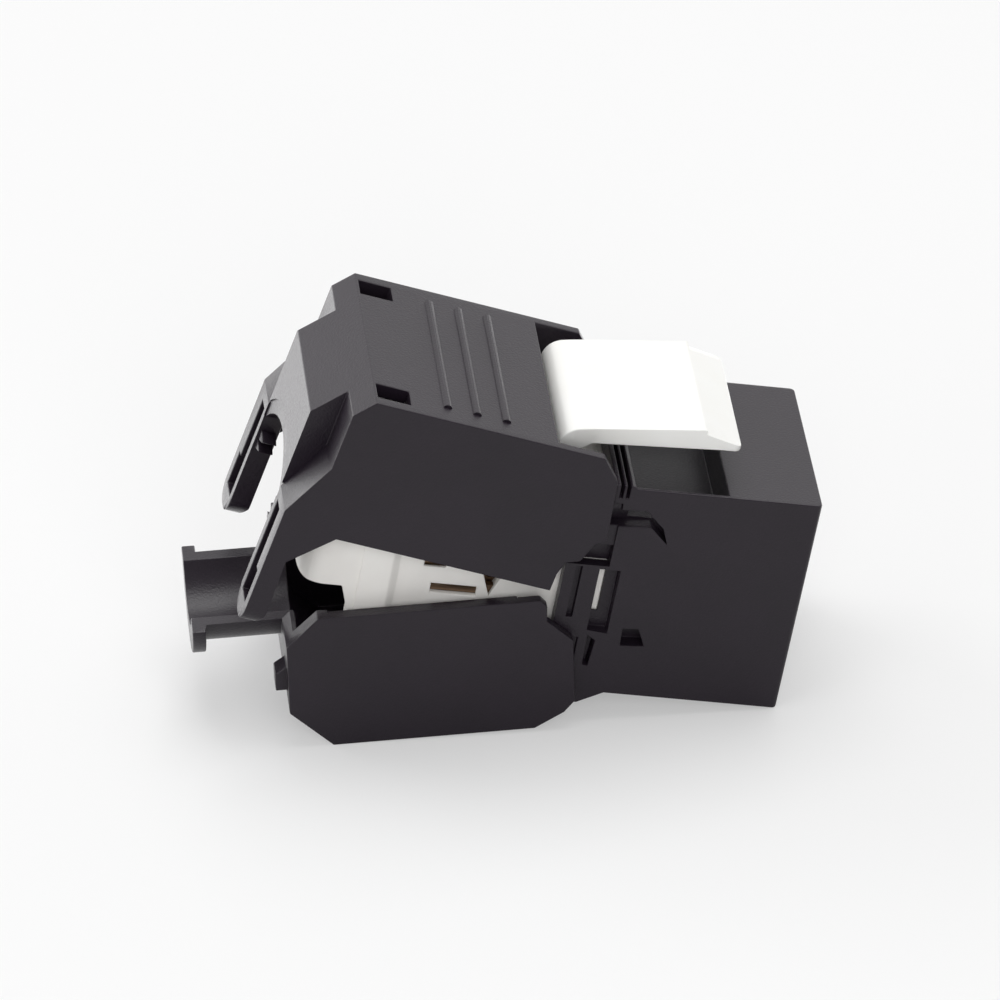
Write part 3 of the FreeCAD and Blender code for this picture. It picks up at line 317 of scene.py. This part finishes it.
@dataclass
class SoftEdges:
    """A frame node with the small radii that a mould leaves on its corners.

    Edges steeper than sharp_deg are rounded. Shading parts at plain folds over fold_deg, and beside the new
    radii only over step_deg. The shares are of the radius: how far a rounded copy may leave the node's own
    surface, how close to it a face turned over is a fault, and how near a fault an edge stays sharp.
    """

    radius_mm: float = 0.08
    segments: int = 2
    sharp_deg: float = 32.0
    flat_deg: float = 0.6
    fold_deg: float = 24.0
    step_deg: float = 46.0
    merge_mm: float = 0.001
    sliver_mm2: float = 1e-6
    reach_share: float = 1.5
    turned_share: float = 0.3
    turned_cosine: float = -0.5
    spared_share: float = 2.0
    face_weight: int = 80
    rounds: int = 12

    def merged(self, node: str) -> bmesh.types.BMesh:
        """Copies a node's loose triangles as one skin of whole faces.

        Args:
            node: The frame node's name.

        Returns:
            The merged copy.
        """
        shape = bmesh.new()
        shape.from_mesh(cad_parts[node].data)
        bmesh.ops.remove_doubles(shape, verts=shape.verts, dist=self.merge_mm * MM)
        bmesh.ops.dissolve_limit(shape, angle_limit=math.radians(self.flat_deg), verts=shape.verts,
                                 edges=shape.edges, use_dissolve_boundaries=False)
        return shape

    def rounded(self, node: str, kept_sharp: set[tuple[int, ...]]) -> bmesh.types.BMesh:
        """Rounds a node's sharp edges, except those that are to stay as they are.

        Args:
            node: The frame node's name.
            kept_sharp: Middles of the edges to leave, in micrometres.

        Returns:
            The rounded copy.
        """
        shape = self.merged(node)
        limit = math.radians(self.sharp_deg)
        sharp = [edge for edge in shape.edges
                 if len(edge.link_faces) == 2 and edge.calc_face_angle(0) > limit
                 and edge_key(edge) not in kept_sharp]
        made = bmesh.ops.bevel(shape, geom=sharp, offset=self.radius_mm * MM, offset_type="OFFSET",
                               segments=self.segments, profile=0.5, affect="EDGES", clamp_overlap=False,
                               material=-1, loop_slide=True)
        self.part_shading(shape, set(made["faces"]))
        bmesh.ops.triangulate(shape, faces=[face for face in shape.faces if len(face.verts) > 4])
        return shape

    def part_shading(self, shape: bmesh.types.BMesh, radii: set[bmesh.types.BMFace]) -> None:
        """Shades a copy smoothly over its radii and curves, and parts the shading at its plain folds.

        Args:
            shape: The rounded copy.
            radii: Its faces that lie on the new radii.
        """
        for face in shape.faces:
            face.smooth = True
        fold = math.radians(self.fold_deg)
        step = math.radians(self.step_deg)
        for edge in shape.edges:
            limit = step if radii.intersection(edge.link_faces) else fold
            edge.smooth = len(edge.link_faces) == 2 and edge.calc_face_angle(0) < limit

    def faults(self, shape: bmesh.types.BMesh, skin: BVHTree) -> list[Vector]:
        """Finds where rounding left the node's own surface or turned a face over.

        Args:
            shape: The rounded copy.
            skin: The node's surface before rounding.

        Returns:
            Points beside which edges are too close together to be rounded.
        """
        found = []
        reach = self.reach_share * self.radius_mm * MM
        beside = self.turned_share * self.radius_mm * MM
        for face in shape.faces:
            if face.calc_area() < self.sliver_mm2 * MM * MM:
                continue
            _, normal, _, distance = skin.find_nearest(face.calc_center_median())
            if distance > reach or (distance < beside and normal.dot(face.normal) < self.turned_cosine):
                found += [vert.co.copy() for vert in face.verts]
            else:
                found += [vert.co.copy() for vert in face.verts if skin.find_nearest(vert.co)[3] > reach]
        return found

    def build(self, node: str, body: str, slot: str, material: bpy.types.Material) -> bpy.types.Object:
        """Copies a node, rounds its sharp edges and lets the copy stand for it.

        Args:
            node: The frame node's name.
            body: The body that it rides on.
            slot: The record's material slot; not used.
            material: Its finish.

        Returns:
            The rounded piece.
        """
        plain = self.merged(node)
        skin = BVHTree.FromBMesh(plain)
        kept_sharp: set[tuple[int, ...]] = set()
        shape = self.rounded(node, kept_sharp)
        for _ in range(self.rounds):
            wrong = self.faults(shape, skin)
            if not wrong:
                break
            shape.free()
            tree = KDTree(len(wrong))
            for index, point in enumerate(wrong):
                tree.insert(point, index)
            tree.balance()
            kept_sharp |= {edge_key(edge) for edge in plain.edges if self.close_to(edge, tree)}
            shape = self.rounded(node, kept_sharp)
        plain.free()
        piece = new_piece(node + "_moulding", shape, material, body)
        weigh = piece.modifiers.new("flat_faces_stay_flat", "WEIGHTED_NORMAL")
        weigh.keep_sharp = True
        weigh.weight = self.face_weight
        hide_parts(node)
        LOG.info("%s: %d edges left sharp", node, len(kept_sharp))
        return piece

    def close_to(self, edge: bmesh.types.BMEdge, tree: KDTree) -> bool:
        """Tells whether an edge has an end beside one of a tree's points.

        Args:
            edge: An edge of the merged copy.
            tree: Points where rounding went wrong.

        Returns:
            True where the edge is to stay sharp.
        """
        near = self.spared_share * self.radius_mm * MM
        return any(tree.find(vert.co)[2] < near for vert in edge.verts)


def edge_key(edge: bmesh.types.BMEdge) -> tuple[int, ...]:
    """Names an edge by its middle in whole micrometres."""
    middle = (edge.verts[0].co + edge.verts[1].co) / 2
    return tuple(round(value / MM * 1000) for value in middle)


@dataclass
class BlackMouldings:
    """The housing, the two jaws and the contact carrier, all of one black resin."""

    edges: SoftEdges = field(default_factory=lambda: SoftEdges(radius_mm=0.08))
    bodies: tuple[tuple[str, str], ...] = (("front_housing", "housing"), ("upper_jaw", "upper"),
                                           ("lower_jaw", "lower"))

    def build(self) -> None:
        """Builds the visible mouldings and dresses the insert behind the port."""
        resin = BLACK_ABS.material()
        for node, body in self.bodies:
            self.edges.build(node, body, "black_plastic", resin)
        dress(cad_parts["contact_carrier"], BLACK_INSERT.material())


@dataclass
class WhiteMouldings:
    """The panel latch and the termination block."""

    edges: SoftEdges = field(default_factory=lambda: SoftEdges(radius_mm=0.1))

    def build(self) -> None:
        """Builds the white latch and the ivory block."""
        self.edges.build("panel_latch", "latch", "white_plastic", WHITE_ACETAL.material())
        self.edges.build("termination_block", "housing", "ivory_plastic", IVORY_POLYCARBONATE.material())


@dataclass
class Conductors:
    """The circuit board, the blades in the block and the spring wires in the port."""

    weave_mm: float = 0.4

    def build(self) -> None:
        """Dresses the board, the blades and the wires."""
        low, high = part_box("pcb")
        board = BoardLaminate("board_solder_mask", "#2B6B45", "#1F5636", "#DAD6C6", self.weave_mm,
                              (low[0] / MM, high[0] / MM))
        dress(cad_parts["pcb"], board.material())
        bronze = PHOSPHOR_BRONZE.material()
        gold = GOLD_PLATE.material()
        for name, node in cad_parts.items():
            if name.startswith("idc_"):
                dress(node, bronze)
            elif name.startswith("contact_") and name != "contact_carrier":
                dress(node, gold)
        LOG.info("board, blades and spring wires dressed")


# Studio


@dataclass(frozen=True)
class SoftLamp:
    """A square soft lamp, placed in the floor's frame from the part's rear foot."""

    name: str
    place_mm: tuple[float, float, float]
    size_mm: float
    watts: float
    mirrored: bool = True


@dataclass
class Studio:
    """The pale floor, the soft lights, the world and the camera.

    The part stands on two lines across it, given by their X and Z. Glossy surfaces see a painted reflection:
    the floor behind the part glows for glossy rays only, over painted_reflection_mm, though no lamp is there.
    They also see the room brighten from near_room to 1 over room_turn, so that black gloss reads as in the
    photograph.
    """

    rest_rear_mm: tuple[float, float] = (-29.2, -13.64)
    rest_front_mm: tuple[float, float] = (0.0, -8.12)
    floor_mm: float = 1600.0
    floor_glow: float = 0.35
    # Painted reflection: glossy rays see the floor behind the part glow up to this strength, rising over this
    # span of Y in millimetres, with no lamp there.
    floor_painted_reflection: float = 5.0
    painted_reflection_mm: tuple[float, float] = (-10.0, 25.0)
    near_room: float = 0.25
    room_turn: tuple[float, float] = (-0.8, 0.4)
    room_light: float = 0.55
    aim_mm: tuple[float, float, float] = (-18.0, 0.0, 0.0)
    lamps: tuple[SoftLamp, ...] = (
        SoftLamp("overhead_softbox", (60, 120, 520), 420, 1.45),
        SoftLamp("left_rear_softbox", (-520, 330, 260), 360, 1.2),
        SoftLamp("front_fill", (60, -560, 330), 420, 1.6, mirrored=False),
        SoftLamp("left_front_fill", (-480, -300, 140), 300, 0.6, mirrored=False))
    sensor_mm: float = 36.0
    clip_m: tuple[float, float] = (0.05, 10.0)
    lens_mm: float = 317.53
    camera_mm: tuple[float, float, float] = (-126.573, -486.626, 311.151)
    camera_deg: tuple[float, float, float] = (57.5936, -10.0816, -6.0327)

    def tilt(self) -> float:
        """Returns the floor's turn about Y, in radians."""
        run = self.rest_front_mm[0] - self.rest_rear_mm[0]
        return -math.atan2(self.rest_front_mm[1] - self.rest_rear_mm[1], run)

    def turned(self) -> Matrix:
        """Returns the frame of the floor, whose Z is the photograph's upright."""
        foot = Vector((self.rest_rear_mm[0], 0, self.rest_rear_mm[1])) * MM
        return Matrix.Translation(foot) @ Matrix.Rotation(self.tilt(), 4, "Y")

    def floor(self) -> None:
        """Makes the floor that the part stands on, with a painted reflection that glossy rays see behind the
        part.
        """
        shape = bmesh.new()
        bmesh.ops.create_grid(shape, x_segments=1, y_segments=1, size=self.floor_mm / 2 * MM,
                              matrix=self.turned())
        mesh = bpy.data.meshes.new("studio_floor")
        shape.to_mesh(mesh)
        shape.free()
        floor = bpy.data.objects.new("studio_floor", mesh)
        bpy.context.scene.collection.objects.link(floor)
        made = bpy.data.materials.new("white_paper_sweep_and_painted_reflection")
        made.use_nodes = True
        tree = made.node_tree
        tree.nodes.clear()
        seen = add_node(tree, "ShaderNodeLightPath")
        paper = add_node(tree, "ShaderNodeBsdfDiffuse", inputs={"Color": linear("#EEEEEE")})
        place = add_node(tree, "ShaderNodeTexCoord")
        split = add_node(tree, "ShaderNodeSeparateXYZ", inputs={"Vector": place.outputs["Object"]})
        # Painted reflection: for glossy rays only, the floor behind the part glows brighter than any lamp makes
        # it; camera rays see the floor evenly bright.
        start, end = self.painted_reflection_mm
        behind = add_node(tree, "ShaderNodeMapRange", {"interpolation_type": "SMOOTHSTEP"}, {
            "Value": split.outputs["Y"], "From Min": start * MM, "From Max": end * MM,
            "To Max": self.floor_painted_reflection})
        painted_reflection = add_node(tree, "ShaderNodeMath", {"operation": "MULTIPLY"}, {
            0: behind.outputs[0], 1: seen.outputs["Is Glossy Ray"]})
        level = add_node(tree, "ShaderNodeMath", {"operation": "MAXIMUM"}, {
            0: painted_reflection.outputs[0], 1: seen.outputs["Is Camera Ray"]})
        glow = add_node(tree, "ShaderNodeEmission", inputs={
            "Color": linear("#FFFFFF"), "Strength": level.outputs[0]})
        dim = add_node(tree, "ShaderNodeMixShader", inputs={
            0: self.floor_glow, 1: paper.outputs[0], 2: glow.outputs[0]})
        add_node(tree, "ShaderNodeOutputMaterial", inputs={"Surface": dim.outputs[0]})
        mesh.materials.append(made)

    def world(self) -> None:
        """Makes the white surroundings."""
        world = bpy.data.worlds.new("white_studio")
        bpy.context.scene.world = world
        world.use_nodes = True
        tree = world.node_tree
        tree.nodes.clear()
        seen = add_node(tree, "ShaderNodeLightPath")
        towards = add_node(tree, "ShaderNodeTexCoord")
        split = add_node(tree, "ShaderNodeSeparateXYZ", inputs={"Vector": towards.outputs["Generated"]})
        start, end = self.room_turn
        room = add_node(tree, "ShaderNodeMapRange", {"interpolation_type": "SMOOTHSTEP"}, {
            "Value": split.outputs["Y"], "From Min": start, "From Max": end, "To Min": self.near_room,
            "To Max": 1.0})
        soft = add_node(tree, "ShaderNodeMapRange", inputs={
            "Value": seen.outputs["Is Diffuse Ray"], "To Min": 1.0, "To Max": self.room_light})
        lit = add_node(tree, "ShaderNodeMath", {"operation": "MULTIPLY"}, {
            0: room.outputs[0], 1: soft.outputs[0]})
        level = add_node(tree, "ShaderNodeMath", {"operation": "MAXIMUM"}, {
            0: lit.outputs[0], 1: seen.outputs["Is Camera Ray"]})
        glow = add_node(tree, "ShaderNodeBackground", inputs={
            "Color": linear("#FFFFFF"), "Strength": level.outputs[0]})
        add_node(tree, "ShaderNodeOutputWorld", inputs={"Surface": glow.outputs[0]})

    def hang(self, lamp: SoftLamp) -> None:
        """Hangs one soft lamp that faces the part.

        Args:
            lamp: Its place, size and power.
        """
        data = bpy.data.lights.new(lamp.name, "AREA")
        data.shape = "SQUARE"
        data.size = lamp.size_mm * MM
        data.energy = lamp.watts
        hung = bpy.data.objects.new(lamp.name, data)
        hung.visible_glossy = lamp.mirrored
        bpy.context.scene.collection.objects.link(hung)
        hung.location = self.turned() @ (Vector(lamp.place_mm) * MM)
        aim = Vector(self.aim_mm) * MM - hung.location
        hung.rotation_euler = aim.to_track_quat("-Z", "Y").to_euler()

    def camera(self) -> None:
        """Stands the camera where the photograph was taken from."""
        data = bpy.data.cameras.new("photo_camera")
        data.sensor_width = self.sensor_mm
        data.lens = self.lens_mm
        data.clip_start, data.clip_end = self.clip_m
        camera = bpy.data.objects.new("photo_camera", data)
        bpy.context.scene.collection.objects.link(camera)
        camera.location = Vector(self.camera_mm) * MM
        camera.rotation_euler = [math.radians(angle) for angle in self.camera_deg]
        bpy.context.scene.camera = camera

    def build(self) -> None:
        """Builds the studio."""
        self.floor()
        self.world()
        for lamp in self.lamps:
            self.hang(lamp)
        self.camera()
        bpy.context.scene.view_settings.view_transform = "Standard"


def main() -> None:
    """Builds the studio and every sub-assembly in order."""
    logging.basicConfig(level=logging.INFO, format="%(name)s: %(message)s")
    Studio().build()
    BlackMouldings().build()
    WhiteMouldings().build()
    Conductors().build()


if __name__ == "__main__":
    main()
